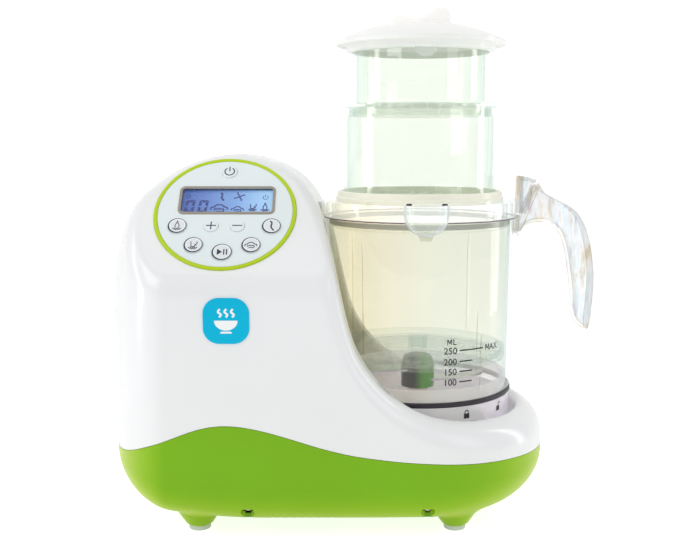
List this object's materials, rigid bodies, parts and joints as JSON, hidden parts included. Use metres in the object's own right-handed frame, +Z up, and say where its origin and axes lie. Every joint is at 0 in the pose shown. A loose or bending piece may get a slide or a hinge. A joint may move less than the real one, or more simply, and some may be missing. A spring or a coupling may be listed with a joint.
{
  "type": "baby food maker",
  "caption": "Countertop baby food maker: a housing with a sloping control panel drives a lidded blender jar that carries a stacked steaming tower.",
  "frame": {"origin": "on the table, under the centre of the overall bounding box; the jar axis is at x = +40.6 mm, y = -5.9 mm", "axes": "+Z up, -Y towards the user and the control panel, +X towards the jar's handle"},
  "size_m": [0.308, 0.1733, 0.3152],
  "materials": {
    "housing_white": "high gloss white ABS",
    "base_green": "gloss lime green ABS",
    "ring_green": "gloss yellow-green ABS",
    "pad_white": "soft white rubber",
    "steel": "plain steel",
    "zinc_plate": "zinc plated sheet steel",
    "fascia_grey": "satin pale grey plastic",
    "lcd_clear": "clear display window",
    "lcd_blue": "blue backlit display",
    "board_green": "circuit board laminate",
    "switch_black": "black moulded plastic",
    "button_grey": "satin pale grey plastic",
    "badge_blue": "printed gloss plate",
    "motor_steel": "zinc plated motor can",
    "copper_stack": "copper winding on a steel stack",
    "belt_black": "black rubber belt",
    "pulley_nylon": "natural nylon",
    "bearing_steel": "ground bearing steel",
    "seal_black": "black silicone rubber",
    "coupling_black": "black nylon",
    "tank_clear": "translucent plastic",
    "boiler_alu": "cast aluminium",
    "silicone": "translucent silicone tube",
    "cord_white": "white PVC cord",
    "plug_white": "white moulded plug",
    "jar_clear": "clear moulded plastic",
    "handle_milky": "milky gloss plastic",
    "lid_milky": "milky white plastic",
    "basket_tint": "clear plastic with a pale blue-green tint",
    "tray_clear": "clear moulded plastic",
    "bronze": "sintered bronze",
    "hub_green": "green plastic",
    "blade_steel": "polished stainless steel"
  },
  "bodies": {
    "housing": {"upper_housing": "housing_white", "base_shell": "base_green", "foot_pads": "pad_white", "housing_screws": "steel", "panel_ring": "ring_green", "panel_fascia": "fascia_grey", "lcd_window": "lcd_clear", "lcd_module": "lcd_blue", "panel_board": "board_green", "front_badge": "badge_blue", "chassis_plate": "zinc_plate", "chassis_screws": "steel", "motor_case": "motor_steel", "motor_stator": "copper_stack", "drive_belt": "belt_black", "bearing_housing": "pulley_nylon", "spindle_bearings": "bearing_steel", "shaft_seal": "seal_black", "power_board": "board_green", "interlock_switch": "switch_black", "water_tank": "tank_clear", "boiler": "boiler_alu", "heating_element": "steel", "thermostat": "switch_black", "feed_hose": "silicone", "steam_nozzle": "silicone", "steam_hose": "silicone", "cord_grommet": "cord_white", "power_cord": "cord_white", "power_plug": "plug_white"},
    "motor_rotor": {"motor_rotor": "steel", "motor_pulley": "pulley_nylon"},
    "spindle": {"spindle": "steel", "spindle_pulley": "pulley_nylon", "drive_coupling": "coupling_black"},
    "interlock_plunger": {"interlock_plunger": "button_grey"},
    "filler_cap": {"filler_cap": "housing_white"},
    "jar_base": {"jar_base": "jar_clear", "shaft_bush": "bronze", "jar_gasket": "seal_black"},
    "blade_unit": {"blade_shaft": "steel", "jar_coupling": "coupling_black", "blades": "blade_steel", "blade_hub": "hub_green"},
    "jar": {"jar_body": "jar_clear", "handle_cover": "handle_milky"},
    "steam_tray": {"steam_tray": "tray_clear"},
    "jar_lid": {"jar_lid": "lid_milky", "lid_seal": "silicone"},
    "lower_basket": {"lower_basket": "basket_tint"},
    "upper_basket": {"upper_basket": "basket_tint"},
    "steamer_lid": {"steamer_lid": "lid_milky"},
    "power_button": {"power_button": "button_grey"},
    "plus_button": {"plus_button": "button_grey"},
    "minus_button": {"minus_button": "button_grey"},
    "bottle_button": {"bottle_button": "button_grey"},
    "blend_button": {"blend_button": "button_grey"},
    "reheat_button": {"reheat_button": "button_grey"},
    "play_pause_button": {"play_pause_button": "button_grey"},
    "steam_button": {"steam_button": "button_grey"}
  },
  "joints": [
    {"name": "spindle_spin", "type": "hinge", "parent": "housing", "child": "spindle", "pos_m": [0.0406, -0.0059, 0.03], "axis": [0, 0, 1], "continuous": true},
    {"name": "motor_spin", "type": "hinge", "parent": "housing", "child": "motor_rotor", "pos_m": [-0.0814, -0.0059, 0.06], "axis": [0, 0, 1], "continuous": true},
    {"name": "jar_turn", "type": "hinge", "parent": "housing", "child": "jar_base", "pos_m": [0.0406, -0.0059, 0.06], "axis": [0, 0, 1], "range_deg": [-30, 0]},
    {"name": "blade_spin", "type": "hinge", "parent": "housing", "child": "blade_unit", "pos_m": [0.0406, -0.0059, 0.08], "axis": [0, 0, 1], "continuous": true},
    {"name": "jar_lift", "type": "slide", "parent": "jar_base", "child": "jar", "axis": [0, 0, 1], "range_m": [0, 0.12]},
    {"name": "steam_tray_lift", "type": "slide", "parent": "jar", "child": "steam_tray", "axis": [0, 0, 1], "range_m": [0, 0.06]},
    {"name": "jar_lid_lift", "type": "slide", "parent": "jar", "child": "jar_lid", "axis": [0, 0, 1], "range_m": [0, 0.06]},
    {"name": "lower_basket_lift", "type": "slide", "parent": "jar_lid", "child": "lower_basket", "axis": [0, 0, 1], "range_m": [0, 0.05]},
    {"name": "upper_basket_lift", "type": "slide", "parent": "lower_basket", "child": "upper_basket", "axis": [0, 0, 1], "range_m": [0, 0.05]},
    {"name": "steamer_lid_lift", "type": "slide", "parent": "upper_basket", "child": "steamer_lid", "axis": [0, 0, 1], "range_m": [0, 0.05]},
    {"name": "filler_cap_lift", "type": "slide", "parent": "housing", "child": "filler_cap", "axis": [0, 0, 1], "range_m": [0, 0.04]},
    {"name": "interlock_press", "type": "slide", "parent": "housing", "child": "interlock_plunger", "axis": [0, 0, -1], "range_m": [0, 0.0015]},
    {"name": "power_press", "type": "slide", "parent": "housing", "child": "power_button", "axis": [0, 0.7266, -0.6871], "range_m": [0, 0.001]},
    {"name": "plus_press", "type": "slide", "parent": "housing", "child": "plus_button", "axis": [0, 0.7266, -0.6871], "range_m": [0, 0.001]},
    {"name": "minus_press", "type": "slide", "parent": "housing", "child": "minus_button", "axis": [0, 0.7266, -0.6871], "range_m": [0, 0.001]},
    {"name": "bottle_press", "type": "slide", "parent": "housing", "child": "bottle_button", "axis": [0, 0.7266, -0.6871], "range_m": [0, 0.001]},
    {"name": "blend_press", "type": "slide", "parent": "housing", "child": "blend_button", "axis": [0, 0.7266, -0.6871], "range_m": [0, 0.001]},
    {"name": "reheat_press", "type": "slide", "parent": "housing", "child": "reheat_button", "axis": [0, 0.7266, -0.6871], "range_m": [0, 0.001]},
    {"name": "play_pause_press", "type": "slide", "parent": "housing", "child": "play_pause_button", "axis": [0, 0.7266, -0.6871], "range_m": [0, 0.001]},
    {"name": "steam_press", "type": "slide", "parent": "housing", "child": "steam_button", "axis": [0, 0.7266, -0.6871], "range_m": [0, 0.001]}
  ],
  "couplings": [
    {"joint": "motor_spin", "follows": "spindle_spin", "ratio": 3},
    {"joint": "blade_spin", "follows": "spindle_spin", "ratio": 1}
  ]
}
